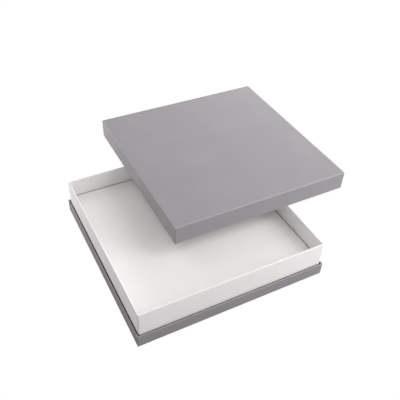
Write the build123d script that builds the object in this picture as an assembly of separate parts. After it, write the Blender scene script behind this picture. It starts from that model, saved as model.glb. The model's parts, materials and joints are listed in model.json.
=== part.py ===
"""Square archival box for flat material, standing open with its lid set aside on the rim.

Four rigid board trays, all made the same way: a shallow grey base, a taller white tray that
drops into it, a white raised floor (a tray upside down) inside that, and a grey lift-off lid.
Each tray is a floor board and four wall boards, held at the corners by paper stays, covered
by one sheet of paper that turns over the rim and runs down the inside of the walls.

Millimetres. +X is to the right, +Y to the back and +Z up. The origin is the middle of the
underside of the base, on the surface that the box stands on.
"""
import os

from build123d import *

# Overall sizes, outside
box_width = 316.0  # base and lid, along X
box_depth = 316.0  # base and lid, along Y
base_height = 22.5  # rim of the base above the surface it stands on
rim_height = 65.0  # rim of the inner tray above that surface
seat_height = 33.0  # top of the raised floor above that surface
lid_height = 33.5  # outside height of the lid

# Sheet materials
board = 1.5  # greyboard
paper = 0.2  # covering and lining paper
glue_line = 0.1  # between a board and its cover
stay_thickness = 0.08  # paper of a corner stay, which lies in the glue line
edge_radius = 1.5  # outside edges of a covered tray

# Fits between pieces that come apart
tray_gap = 1.8  # between the inside of the base and the inner tray, all round
floor_gap = 1.2  # between the inside of the inner tray and the raised floor, all round
rest_gap = 0.3  # between two pieces where one rests on the other

# Paper details
stay_leg = 15.0  # each leg of a corner stay, measured from the corner
turn_under = 15.0  # covering paper turned under the edge of the base
sheet_margin = 3.0  # from the edge of the base to its underside sheet

# Where the lid lies while the box is open: moved back and to the right, level on the rim
lid_shift_x = 105.0
lid_shift_y = 101.0

# What follows from the sizes above
board_inset = paper + glue_line  # from a tray's outside to its boards
wall = board_inset + board + paper  # whole thickness of a covered wall
board_floor = board_inset + board  # from a tray's outside to the inner face of its floor board
floor = board_floor + paper  # whole thickness of a covered and lined floor


def envelope(width, depth, height, inset):
    """A tray's outer block, drawn in on its sides and its closed face, with rounded edges."""
    plan = Plane.XY.offset(inset) * Rectangle(width - 2 * inset, depth - 2 * inset)
    block = extrude(plan, height - inset)
    closed_face_edges = block.edges().group_by(Axis.Z)[0]
    upright_edges = block.edges().filter_by(Axis.Z)
    return fillet(closed_face_edges + upright_edges, edge_radius - inset)


def well(width, depth, height, inset, bottom):
    """The space inside a tray's walls, from a given height up to its rim."""
    plan = Plane.XY.offset(bottom) * Rectangle(width - 2 * inset, depth - 2 * inset)
    return extrude(plan, height - bottom)


def below(shape, height):
    """The part of a shape that lies under a given height."""
    return split(shape, Plane.XY.offset(height), keep=Keep.BOTTOM)


def above(shape, height):
    """The part of a shape that lies over a given height."""
    return split(shape, Plane.XY.offset(height), keep=Keep.TOP)


def wall_boards(ring, width, depth):
    """Four boards from a ring of board: front and back run full width, the sides fit between."""
    side_y = depth / 2 - board_floor
    front_face = Plane(origin=(0, -side_y, 0), z_dir=(0, -1, 0))
    back_face = Plane(origin=(0, side_y, 0), z_dir=(0, 1, 0))
    front = split(ring, front_face, keep=Keep.TOP)
    back = split(ring, back_face, keep=Keep.TOP)
    sides = split(split(ring, front_face, keep=Keep.BOTTOM), back_face, keep=Keep.BOTTOM)
    return {
        "front_wall": front,
        "back_wall": back,
        "left_wall": split(sides, Plane.YZ, keep=Keep.BOTTOM),
        "right_wall": split(sides, Plane.YZ, keep=Keep.TOP),
    }


def corner_stays(boards, width, depth, height):
    """Four paper angles, one round each upright corner, between the boards and the cover."""
    skin = envelope(width, depth, height - paper, board_inset - stay_thickness) - boards
    length = height - 2 * edge_radius
    stays = []
    for x in (-1, 1):
        for y in (-1, 1):
            corner = Pos(x * width / 2, y * depth / 2, edge_radius + length / 2)
            stays += (skin & corner * Box(2 * stay_leg, 2 * stay_leg, length)).solids()
    return Compound(children=stays)


def make_tray(width, depth, height):
    """The pieces of one tray, standing on its closed face at Z = 0 with its rim up."""
    outside = envelope(width, depth, height, 0)
    under_paper = envelope(width, depth, height - paper, paper)
    board_outside = envelope(width, depth, height - paper, board_inset)
    board_inside = well(width, depth, height, board_floor, board_floor)
    clear_inside = well(width, depth, height, wall, board_floor)
    boards = board_outside - board_inside
    pieces = {"floor_board": below(boards, board_floor)}
    pieces.update(wall_boards(above(boards, board_floor), width, depth))
    pieces["corner_stays"] = corner_stays(board_outside, width, depth, height)
    pieces["cover_paper"] = outside - (under_paper - board_inside) - clear_inside
    pieces["lining_sheet"] = below(clear_inside, floor)
    return pieces


def place(pieces, prefix, location, upside_down=False):
    """The same pieces with their full names, in their place in the box."""
    placed = {}
    for name, piece in pieces.items():
        turned = mirror(piece, about=Plane.XY) if upside_down else piece
        placed[f"{prefix}_{name}"] = location * turned
    return placed


def make_base():
    """Grey base tray on its underside sheet, which is the only piece that meets the surface."""
    pieces = make_tray(box_width, box_depth, base_height - paper)
    open_width = box_width - 2 * turn_under
    open_depth = box_depth - 2 * turn_under
    pieces["cover_paper"] -= Pos(0, 0, paper / 2) * Box(open_width, open_depth, paper)
    base = place(pieces, "base", Pos(0, 0, paper))
    sheet = Rectangle(box_width - 2 * sheet_margin, box_depth - 2 * sheet_margin)
    base["base_underside_sheet"] = extrude(sheet, paper)
    return base


def make_inner_tray():
    """White tray that stands in the base and rises above its rim."""
    width = box_width - 2 * (wall + tray_gap)
    depth = box_depth - 2 * (wall + tray_gap)
    bottom = paper + floor + rest_gap
    return place(make_tray(width, depth, rim_height - bottom), "tray", Pos(0, 0, bottom))


def make_raised_floor():
    """White false floor: a tray upside down whose walls stand on the inner tray's lining."""
    margin = 2 * wall + tray_gap + floor_gap
    width = box_width - 2 * margin
    depth = box_depth - 2 * margin
    foot_height = paper + 2 * (floor + rest_gap)
    pieces = make_tray(width, depth, seat_height - foot_height)
    pieces["panel_board"] = pieces.pop("floor_board")
    del pieces["lining_sheet"]
    return place(pieces, "raised_floor", Pos(0, 0, seat_height), upside_down=True)


def make_lid():
    """Grey lid, a tray upside down, lying level on two rims of the inner tray."""
    pieces = make_tray(box_width, box_depth, lid_height)
    pieces["top_board"] = pieces.pop("floor_board")
    top = rim_height + rest_gap + lid_height
    return place(pieces, "lid", Pos(lid_shift_x, lid_shift_y, top), upside_down=True)


os.makedirs("parts", exist_ok=True)
for part in (make_base(), make_inner_tray(), make_raised_floor(), make_lid()):
    for node, shape in part.items():
        export_step(shape, f"parts/{node}.step")
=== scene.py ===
"""Looks of the square archival box: paper-covered trays and lid, built round the CAD frame.

Metres, in the frame of the CAD model: +X right, +Y back, +Z up, origin under the middle of the base.
"""
import json
import math
from collections import namedtuple

import bmesh
import bpy
from mathutils import Euler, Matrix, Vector, noise


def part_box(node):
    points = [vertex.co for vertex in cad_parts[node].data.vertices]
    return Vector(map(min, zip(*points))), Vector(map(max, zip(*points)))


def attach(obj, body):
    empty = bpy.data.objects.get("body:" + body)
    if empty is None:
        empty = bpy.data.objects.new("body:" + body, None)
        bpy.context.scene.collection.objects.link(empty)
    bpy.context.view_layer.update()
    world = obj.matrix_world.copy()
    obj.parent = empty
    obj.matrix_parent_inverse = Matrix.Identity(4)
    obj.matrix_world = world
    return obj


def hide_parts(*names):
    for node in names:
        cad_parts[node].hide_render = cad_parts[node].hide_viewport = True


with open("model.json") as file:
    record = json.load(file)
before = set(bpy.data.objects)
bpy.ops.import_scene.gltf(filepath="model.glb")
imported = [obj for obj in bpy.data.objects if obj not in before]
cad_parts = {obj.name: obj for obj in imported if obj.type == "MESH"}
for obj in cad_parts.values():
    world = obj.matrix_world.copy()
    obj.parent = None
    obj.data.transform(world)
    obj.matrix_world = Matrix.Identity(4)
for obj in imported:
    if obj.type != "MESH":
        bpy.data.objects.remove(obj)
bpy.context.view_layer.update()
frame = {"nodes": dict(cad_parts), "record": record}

MM = 0.001

# Papers
PAPER = 0.2 * MM  # thickness of the covering paper
LAP = 0.1 * MM  # step where one flap of a cover lies over another
BOW = 0.12 * MM  # most that the paper stands proud of a flat face
BOW_FADE = 8 * MM  # distance over which that fades out
SHADE_BAND_CLEAR = 0.13 * MM  # between a cover and the near-black band of painted shade on it
RIM_WEAR_AND_HIGHLIGHT = 0.35  # wear and painted highlight at a rim, as a share of that on a tray's outer edges

# Roundings of a covered tray
EDGE_RADIUS = 1.5 * MM
RIM_RADIUS = 0.65 * MM
INNER_CORNER_RADIUS = 0.4 * MM

# Grid of a cover
ARC_STEPS = 6
RIM_STEPS = 4
WALL_STEPS = 10
SIDE_STEPS = 40
STRIP_STEPS = 4


# ---------------------------------------------------------------- materials

class Paint:
    """The nodes of one material. Values that are the same all over go on its shader's sockets."""

    def __init__(self, name, colour, roughness, specular):
        self.material = bpy.data.materials.new(name)
        self.material.use_nodes = True
        self.nodes = self.material.node_tree.nodes
        self.links = self.material.node_tree.links
        self.shader = self.nodes["Principled BSDF"]
        self.shader.inputs["Base Color"].default_value = (*colour, 1.0)
        self.shader.inputs["Roughness"].default_value = roughness
        self.shader.inputs["Specular IOR Level"].default_value = specular
        self.place = self.nodes.new("ShaderNodeTexCoord").outputs["Object"]

    def noise(self, scale, detail=3.0, roughness=0.55, vector=None):
        """Noise with a number of features per metre."""
        node = self.nodes.new("ShaderNodeTexNoise")
        node.inputs["Scale"].default_value = scale
        node.inputs["Detail"].default_value = detail
        node.inputs["Roughness"].default_value = roughness
        self.links.new(vector or self.place, node.inputs["Vector"])
        return node.outputs["Fac"]

    def stretched_place(self, scale, turn):
        node = self.nodes.new("ShaderNodeMapping")
        node.inputs["Scale"].default_value = scale
        node.inputs["Rotation"].default_value = turn
        self.links.new(self.place, node.inputs["Vector"])
        return node.outputs["Vector"]

    def spread(self, value, low, high, start=0.3, end=0.7):
        """A value's range from start to end, spread over low to high."""
        node = self.nodes.new("ShaderNodeMapRange")
        node.inputs["From Min"].default_value = start
        node.inputs["From Max"].default_value = end
        node.inputs["To Min"].default_value = low
        node.inputs["To Max"].default_value = high
        self.links.new(value, node.inputs["Value"])
        return node.outputs["Result"]

    def vary(self, value, amount):
        return self.spread(value, 1.0 - amount, 1.0 + amount)

    def combine(self, operation, *values):
        total = values[0]
        for value in values[1:]:
            node = self.nodes.new("ShaderNodeMath")
            node.operation = operation
            self.links.new(total, node.inputs[0])
            self.links.new(value, node.inputs[1])
            total = node.outputs[0]
        return total

    def attribute(self, name):
        """A number that the mesh carries on its points."""
        node = self.nodes.new("ShaderNodeAttribute")
        node.attribute_name = name
        return node.outputs["Fac"]

    def shade(self, colour, tone):
        node = self.nodes.new("ShaderNodeVectorMath")
        node.operation = "SCALE"
        node.inputs[0].default_value = colour
        self.links.new(tone, node.inputs["Scale"])
        return node.outputs["Vector"]

    def blend(self, factor, first, second_colour):
        node = self.nodes.new("ShaderNodeMix")
        node.data_type = "RGBA"
        self.links.new(factor, node.inputs["Factor"])
        self.links.new(first, node.inputs["A"])
        node.inputs["B"].default_value = (*second_colour, 1.0)
        return node.outputs["Result"]

    def bump(self, height, depth, strength):
        node = self.nodes.new("ShaderNodeBump")
        node.inputs["Strength"].default_value = strength
        node.inputs["Distance"].default_value = depth
        self.links.new(height, node.inputs["Height"])
        self.links.new(node.outputs["Normal"], self.shader.inputs["Normal"])

    def finish(self, colour, roughness=None):
        self.links.new(colour, self.shader.inputs["Base Color"])
        if roughness:
            self.links.new(roughness, self.shader.inputs["Roughness"])
        return self.material


def paper_material(name, colour, worn_and_highlit, cloudiness, grain_depth, roughness):
    """Matt covering paper: clouds of tone, short fibres, a fine tooth, painted shade at flap edges and
    joints, and edges lightened for wear and a painted highlight.
    """
    paint = Paint(name, colour, roughness, specular=0.3)
    clouds = paint.noise(14.0, detail=2.0)
    mottle = paint.noise(240.0, detail=4.0, roughness=0.65)
    along_the_grain = paint.stretched_place((1.0, 3.5, 2.0), (0.3, 0.2, 0.6))
    fibres = paint.noise(900.0, detail=5.0, roughness=0.75, vector=along_the_grain)
    tooth = paint.noise(3200.0, detail=3.0, roughness=0.6)
    tone = paint.combine(
        "MULTIPLY",
        paint.vary(clouds, cloudiness),
        paint.vary(mottle, 0.8 * cloudiness),
        paint.vary(fibres, cloudiness),
        # painted shade at the flap edges and below joints, from the seam number
        paint.spread(paint.attribute("seam"), 1.0, 0.6, start=0.0, end=1.0),
    )
    # edges lightened for wear and a painted highlight
    rubbed_and_highlit = paint.combine(
        "MULTIPLY", paint.attribute("wear"), paint.spread(mottle, 0.55, 0.95)
    )
    paint.bump(paint.combine("ADD", fibres, tooth), grain_depth, 0.5)
    return paint.finish(
        paint.blend(rubbed_and_highlit, paint.shade(colour, tone), worn_and_highlit),
        paint.spread(mottle, roughness - 0.06, roughness + 0.06),
    )


def board_material(name, colour, speckle):
    """Raw board or kraft paper: flecks and short fibres of pulp."""
    paint = Paint(name, colour, 0.92, specular=0.2)
    flecks = paint.noise(700.0, detail=6.0, roughness=0.8)
    pulp = paint.noise(90.0)
    tone = paint.combine("MULTIPLY", paint.vary(flecks, speckle), paint.vary(pulp, 0.06))
    paint.bump(flecks, 0.06 * MM, 0.6)
    return paint.finish(paint.shade(colour, tone))


GREY = (0.279, 0.2595, 0.2745)
# lighter grey of the edges: wear and a painted highlight
WORN_AND_HIGHLIT_GREY = (0.430, 0.402, 0.424)
WHITE = (0.835, 0.817, 0.812)
WORN_WHITE = (0.850, 0.838, 0.834)
# near-black paper of the bands that stand in for the shade in the joint between base and tray: painted
# shade
SHADE_BLACK = (0.016, 0.016, 0.017)
WORN_SHADE_BLACK = (0.040, 0.040, 0.040)
GREYBOARD = (0.360, 0.350, 0.330)
KRAFT = (0.620, 0.500, 0.360)

grey_paper = paper_material("grey_cover_paper", GREY, WORN_AND_HIGHLIT_GREY, 0.030, 0.05 * MM, 0.78)
white_paper = paper_material("white_cover_paper", WHITE, WORN_WHITE, 0.012, 0.04 * MM, 0.82)
# paper of the bands of painted shade in the joint between base and tray
shade_band_paper = paper_material("painted_shade_band_paper", SHADE_BLACK, WORN_SHADE_BLACK, 0.04, 0.05 * MM, 0.85)
SLOT_MATERIALS = {
    "grey_paper": grey_paper,
    "white_paper": white_paper,
    "greyboard": board_material("raw_greyboard", GREYBOARD, 0.14),
    "stay_paper": board_material("kraft_stays", KRAFT, 0.08),
}


def finish_cad_nodes():
    """Every CAD node gets the procedural material of its slot in the record."""
    for subpart in frame["record"]["subparts"]:
        node = frame["nodes"][subpart["node"]]
        node.data.materials.clear()
        node.data.materials.append(SLOT_MATERIALS[subpart["material_slot"]])


# ---------------------------------------------------------------- covers

class Tray:
    """Sizes of one covered tray, read from its CAD nodes. Height 0 is its closed face."""

    def __init__(self, prefix, closed_board):
        low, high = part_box(f"{prefix}_cover_paper")
        board_low, board_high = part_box(f"{prefix}_{closed_board}")
        left_low, left_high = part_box(f"{prefix}_left_wall")
        self.centre = (low + high) / 2
        self.half = (high - low) / 2
        self.depth = high.z - low.z
        self.wall = left_high.x - low.x + PAPER
        self.rim_up = board_low.z - low.z < high.z - board_high.z
        self.closed_z = low.z if self.rim_up else high.z
        inner_z = board_high.z if self.rim_up else board_low.z
        self.inner_height = abs(inner_z - self.closed_z)

    def place(self, x, y, height):
        """A point of the tray, from its middle and its closed face, in the frame."""
        z = self.closed_z + (height if self.rim_up else -height)
        return Vector((self.centre.x + x, self.centre.y + y, z))


# A point of a cover's section: how far in from the tray's outside, height above the closed face,
# outward direction (to the outside is negative), strength of lap, of wear with a painted highlight
# and of painted joint shade, and depth below the rim inside
Section = namedtuple(
    "Section", "inset height out_x out_z lap wear shade depth", defaults=(0.0, 0.0, 0.0, 0.0)
)


def arc_section(inset, height, radius, start, end, steps, **values):
    """Points of a rounded edge. Angles in degrees: 0 faces out, 90 up, 180 in, -90 down."""
    points = []
    for step in range(steps + 1):
        angle = math.radians(start + (end - start) * step / steps)
        x = -math.cos(angle)
        z = math.sin(angle)
        points.append(Section(inset + radius * x, height + radius * z, x, z, **values))
    return points


def cover_profile(tray, turn_under=None, joint=None):
    """The cover's section, from the edge of the closed face round the rim to the inner corner.

    Inside, shade is painted below the height of a joint with another piece.
    """
    top = tray.depth - RIM_RADIUS
    points = []
    if turn_under:
        for step in range(STRIP_STEPS):
            inset = turn_under + (EDGE_RADIUS - turn_under) * step / STRIP_STEPS
            points.append(Section(inset, 0.0, 0.0, -1.0))
    # wear and a painted highlight, strongest halfway round the rounded edge
    for point in arc_section(EDGE_RADIUS, EDGE_RADIUS, EDGE_RADIUS, -90, 0, ARC_STEPS):
        points.append(point._replace(wear=2 * abs(point.out_x * point.out_z)))
    for step in range(1, WALL_STEPS):
        share = step / WALL_STEPS
        height = EDGE_RADIUS + (top - EDGE_RADIUS) * share
        points.append(Section(0.0, height, -1.0, 0.0, lap=min(1.0, 3 * share)))
    for inset, start in ((RIM_RADIUS, 0), (tray.wall - RIM_RADIUS, 90)):
        rim = arc_section(inset, top, RIM_RADIUS, start, start + 90, RIM_STEPS, lap=1.0, wear=RIM_WEAR_AND_HIGHLIGHT)
        points += rim
    heights = [top + (tray.inner_height - top) * i / WALL_STEPS for i in range(1, WALL_STEPS + 1)]
    if joint:
        heights = sorted(heights + [joint, joint - JOINT_SOFT], reverse=True)
    for height in heights:
        # painted shade on the inner wall below the joint
        shade = 1.0 if joint and height < joint else 0.0
        points.append(Section(tray.wall, height, 1.0, 0.0, 1.0, 0.0, shade, top - height))
    return points


OUTER_SEAM = 0.35 * MM  # edge of the upper flap, from where the corner's rounding ends
INNER_SEAM = 0.8 * MM  # the same inside, at the rim
SEAM_SLANT = 0.22  # how far the inner seam moves from the corner per metre of depth
SEAM_STEP = 0.1 * MM  # width of the step at a flap's edge
SEAM_SOFT = 0.2 * MM  # distance over which the painted shade at a flap's edge fades
JOINT_SOFT = 0.3 * MM  # distance over which the painted shade below a joint comes in


def columns(half_straight, seam):
    """Places along one side, from corner to corner, with close ones at the two flap edges."""
    inner = half_straight - seam
    close = [inner, inner + SEAM_STEP, inner + SEAM_STEP + SEAM_SOFT, half_straight]
    middle = [inner * (2 * i / SIDE_STEPS - 1) for i in range(1, SIDE_STEPS)]
    soft = [-(inner - SEAM_SOFT), inner - SEAM_SOFT]
    return [-place for place in reversed(close)] + sorted(middle + soft) + close


def flap_edge_shade(index, count):
    """Painted shade: 1 at the two flap edges of a side, 0 elsewhere."""
    from_end = min(index, count - 1 - index)
    return 1.0 if from_end in (2, 3) else 0.0


def side_points(tray, point, along_x, radius, seam):
    """Points along the front of a tray, or along a side turned to the front, at one height."""
    half_along = (tray.half.x if along_x else tray.half.y) - point.inset - radius
    half_across = (tray.half.y if along_x else tray.half.x) - point.inset
    points = []
    places = columns(half_along, seam)
    for index, place in enumerate(places):
        covered = along_x or min(index, len(places) - 1 - index) < 3
        raised = 0.0 if covered else point.lap * LAP
        # painted shade along the edge of the upper flap
        flap_shade_here = 0.0 if along_x else point.lap * flap_edge_shade(index, len(places))
        across = half_across - point.out_x * raised
        height = point.height + point.out_z * raised
        points.append((place, -across, height, max(point.shade, flap_shade_here)))
    for step in range(1, ARC_STEPS):
        angle = math.pi / 2 * step / ARC_STEPS
        x = half_along + radius * math.sin(angle)
        y = -half_across + radius * (1 - math.cos(angle))
        points.append((x, y, point.height, point.shade))
    return points


def ring(tray, point):
    """Points round the tray at one place of the section: four sides joined by corner arcs.

    Each is (x, y, height, painted shade).
    """
    outside = point.inset < tray.wall / 2 or point.height < EDGE_RADIUS
    seam = OUTER_SEAM if outside else INNER_SEAM + SEAM_SLANT * point.depth
    radius = max(EDGE_RADIUS - point.inset, 0.0)
    if point.height > EDGE_RADIUS:
        radius = max(radius, INNER_CORNER_RADIUS)
    points = []
    for side in range(4):
        along_x = side % 2 == 0  # front and back run along X
        for x, y, height, shade in side_points(tray, point, along_x, radius, seam):
            points.append((*turn(side, x, y), height, shade))
    return points


def turn(side, x, y):
    """A point of the front side, turned by quarter turns to another side."""
    for _ in range(side):
        x, y = -y, x
    return x, y


def bow(place):
    """How far the paper stands proud at a point: a slow, one-sided waviness."""
    wave = noise.noise(place * 9.0) * 0.6 + noise.noise(place * 31.0 + Vector((5.0, 2.0, 9.0))) * 0.4
    return BOW * min(1.0, max(0.0, 0.5 + wave))


def clamp(share):
    """A share kept between 0 and 1."""
    return min(1.0, max(0.0, share))


def new_paper_mesh():
    """An empty mesh with the two numbers that the paper materials read: wear with a painted highlight,
    and painted shade.
    """
    mesh = bmesh.new()
    mesh.verts.layers.float.new("wear")
    mesh.verts.layers.float.new("seam")
    return mesh


def add_ring(mesh, tray, point):
    wear_and_highlight_layer = mesh.verts.layers.float["wear"]
    seam_shade_layer = mesh.verts.layers.float["seam"]
    row = []
    # seam carries the painted shade at flap edges and below joints
    for x, y, height, seam in ring(tray, point):
        vertex = mesh.verts.new((x, y, height))
        vertex[wear_and_highlight_layer] = point.wear
        vertex[seam_shade_layer] = seam
        row.append(vertex)
    return row


def bow_out(mesh, tray, flat_below):
    """Moves a cover's points outward a little, but not at the rim nor below flat_below."""
    mesh.normal_update()
    flat = [(vertex, vertex.normal.copy()) for vertex in mesh.verts]
    for vertex, normal in flat:
        strength = clamp((tray.depth - vertex.co.z) / BOW_FADE)
        if flat_below:
            strength *= clamp((vertex.co.z - flat_below) / BOW_FADE)
        vertex.co += normal * strength * bow(tray.place(*vertex.co))


def cover(name, tray, body, slot, node, turn_under=None, flat_below=None, joint=None):
    """The covering paper of one tray as a thin closed shell, in place of its CAD node."""
    mesh = new_paper_mesh()
    rings = [add_ring(mesh, tray, point) for point in cover_profile(tray, turn_under, joint)]
    join_rings(mesh, rings)
    if not turn_under:
        add_panel(mesh, tray)
    bmesh.ops.remove_doubles(mesh, verts=mesh.verts, dist=1e-7)
    bmesh.ops.recalc_face_normals(mesh, faces=mesh.faces)
    bow_out(mesh, tray, flat_below)
    for vertex in mesh.verts:
        vertex.co = tray.place(*vertex.co)
    if not tray.rim_up:
        bmesh.ops.reverse_faces(mesh, faces=mesh.faces)
    piece = finish_piece(name, mesh, body, SLOT_MATERIALS[slot])
    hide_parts(node)
    return piece


def join_rings(mesh, rings):
    """A strip of faces between each ring and the next."""
    count = len(rings[0])
    for lower, upper in zip(rings, rings[1:]):
        for i in range(count):
            j = (i + 1) % count
            mesh.faces.new((lower[i], lower[j], upper[j], upper[i]))


def add_panel(mesh, tray):
    """The flat part of the closed face, as a grid whose border lies on the first ring."""
    xs = columns(tray.half.x - EDGE_RADIUS, OUTER_SEAM)
    ys = columns(tray.half.y - EDGE_RADIUS, OUTER_SEAM)
    grid = [[mesh.verts.new((x, y, 0.0)) for x in xs] for y in ys]
    for row, above in zip(grid, grid[1:]):
        for i in range(len(xs) - 1):
            mesh.faces.new((row[i], above[i], above[i + 1], row[i + 1]))


def shade_band(name, tray, body, inset, bottom, top):
    """A near-black band of paper round a tray: painted shade that darkens the joint beside it.

    Its outer face lies the inset in from the tray's outside.
    """
    mesh = new_paper_mesh()
    heights = (bottom, (bottom + top) / 2, top)
    rings = [add_ring(mesh, tray, Section(inset, height, 0.0, 0.0)) for height in heights]
    join_rings(mesh, rings)
    for vertex in mesh.verts:
        vertex.co = tray.place(*vertex.co)
    bmesh.ops.recalc_face_normals(mesh, faces=mesh.faces)
    return finish_piece(name, mesh, body, shade_band_paper)


def finish_piece(name, mesh, body, material):
    """Makes an object of a mesh: smooth shading, paper thickness, its material, its body."""
    data = bpy.data.meshes.new(name)
    mesh.to_mesh(data)
    mesh.free()
    for polygon in data.polygons:
        polygon.use_smooth = True
    data.materials.append(material)
    piece = bpy.data.objects.new(name, data)
    bpy.context.scene.collection.objects.link(piece)
    solid = piece.modifiers.new("thickness", "SOLIDIFY")
    solid.thickness = PAPER
    solid.offset = -1.0
    weighted = piece.modifiers.new("normals", "WEIGHTED_NORMAL")
    weighted.keep_sharp = True
    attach(piece, body)
    return piece


base = Tray("base", "floor_board")
tray = Tray("tray", "floor_board")
raised_floor = Tray("raised_floor", "panel_board")
lid = Tray("lid", "top_board")

TURN_UNDER = 15 * MM
SHADE_BAND_BELOW_RIM = 1.8 * MM  # from the base's rim to the top of both bands of painted shade
SHADE_BAND_FOOT = 2 * MM  # from the bottom of the space for a band to the band
tray_lift = tray.closed_z - base.closed_z
lining_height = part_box("base_lining_sheet")[1].z - base.closed_z
base_shade_band_top = base.depth - SHADE_BAND_BELOW_RIM
tray_shade_band_top = base_shade_band_top - tray_lift
raised_floor_height = raised_floor.closed_z - tray.closed_z

finish_cad_nodes()
cover("base_cover", base, "base", "grey_paper", "base_cover_paper", TURN_UNDER, base.depth)
cover(
    "tray_cover", tray, "tray", "white_paper", "tray_cover_paper",
    flat_below=tray_shade_band_top, joint=raised_floor_height,
)
cover("raised_floor_cover", raised_floor, "raised_floor", "white_paper", "raised_floor_cover_paper")
cover("lid_cover", lid, "lid", "grey_paper", "lid_cover_paper")
# near-black bands on the tray's foot and inside the base's walls: painted shade in the joint between
# them
shade_band(
    "tray_foot_shade_band", tray, "tray", -SHADE_BAND_CLEAR - PAPER, SHADE_BAND_FOOT, tray_shade_band_top
)
shade_band(
    "base_inner_shade_band", base, "base",
    base.wall + SHADE_BAND_CLEAR, lining_height + SHADE_BAND_FOOT, base_shade_band_top,
)


# ---------------------------------------------------------------- studio

CAMERA_AT = (-0.3013, -0.5716, 0.6602)
CAMERA_TURN = (48.56, -2.09, -27.35)  # degrees about X, Y and Z
LENS = 48.9
FLOOR_RADIUS = 3.0
SWEEP_RADIUS = 3.0
SWEEP_STEPS = 12
ROUND_STEPS = 96
LIT_SPOT = (0.05, 0.05, 0.05)  # what every light faces
SKY = 0.45

# Soft lights: name, place, width, height and watts
SOFT_LIGHTS = (
    ("overhead_right", (0.60, -0.50, 1.10), 0.60, 0.60, 4.3),
    ("overhead_left", (-0.50, 0.60, 1.10), 0.60, 0.60, 1.5),
    ("over_camera", (-0.40, -0.80, 1.00), 0.50, 0.50, 1.5),
    ("back_right", (0.68, 0.68, 0.56), 0.50, 0.50, 6.3),
    ("front_right", (0.72, -0.62, 0.50), 0.50, 0.50, 4.7),
    ("back_left", (-0.62, 0.72, 0.50), 0.50, 0.50, 1.2),
    ("low_left", (-0.30, 0.45, 0.06), 0.15, 0.12, 0.9),
    ("low_right", (0.50, -0.30, 0.06), 0.15, 0.12, 0.45),
)


def place_camera():
    data = bpy.data.cameras.new("camera")
    data.lens = LENS
    data.sensor_width = 36.0
    data.clip_start = 0.01
    camera = bpy.data.objects.new("camera", data)
    camera.location = CAMERA_AT
    camera.rotation_euler = Euler([math.radians(a) for a in CAMERA_TURN], "XYZ")
    bpy.context.scene.collection.objects.link(camera)
    bpy.context.scene.camera = camera


def soft_light(name, place, width, height, watts):
    data = bpy.data.lights.new(name, "AREA")
    data.shape = "RECTANGLE"
    data.size = width
    data.size_y = height
    data.energy = watts
    light = bpy.data.objects.new(name, data)
    light.location = place
    aim = Vector(LIT_SPOT) - Vector(place)
    light.rotation_euler = aim.to_track_quat("-Z", "Y").to_euler()
    light.visible_camera = False
    bpy.context.scene.collection.objects.link(light)


def sweep_mesh():
    """A round floor that curves up at its edge."""
    section = [(FLOOR_RADIUS, 0.0)]
    for step in range(1, SWEEP_STEPS + 1):
        angle = math.pi / 2 * step / SWEEP_STEPS
        out = FLOOR_RADIUS + SWEEP_RADIUS * math.sin(angle)
        section.append((out, SWEEP_RADIUS * (1 - math.cos(angle))))
    turns = [math.tau * step / ROUND_STEPS for step in range(ROUND_STEPS)]
    mesh = bmesh.new()
    rings = []
    for out, height in section:
        rings.append([mesh.verts.new((out * math.cos(t), out * math.sin(t), height)) for t in turns])
    mesh.faces.new(rings[0])
    join_rings(mesh, rings)
    data = bpy.data.meshes.new("floor")
    mesh.to_mesh(data)
    mesh.free()
    data.shade_smooth()
    return data


def backdrop():
    """A plain white floor, overexposed as on a light table, so no shadow shows on it."""
    floor = bpy.data.objects.new("floor", sweep_mesh())
    bpy.context.scene.collection.objects.link(floor)
    paint = Paint("white_floor", (0.8, 0.8, 0.8), 0.9, specular=0.3)
    paint.shader.inputs["Emission Color"].default_value = (1.0, 1.0, 1.0, 1.0)
    paint.shader.inputs["Emission Strength"].default_value = 1.0
    floor.data.materials.append(paint.material)
    floor.visible_diffuse = False
    floor.visible_glossy = False
    floor.visible_shadow = False


def surroundings():
    world = bpy.data.worlds.new("studio")
    world.use_nodes = True
    background = world.node_tree.nodes["Background"]
    background.inputs["Color"].default_value = (1.0, 1.0, 1.0, 1.0)
    background.inputs["Strength"].default_value = SKY
    bpy.context.scene.world = world


place_camera()
backdrop()
surroundings()
for light in SOFT_LIGHTS:
    soft_light(*light)
bpy.context.scene.view_settings.view_transform = "Standard"
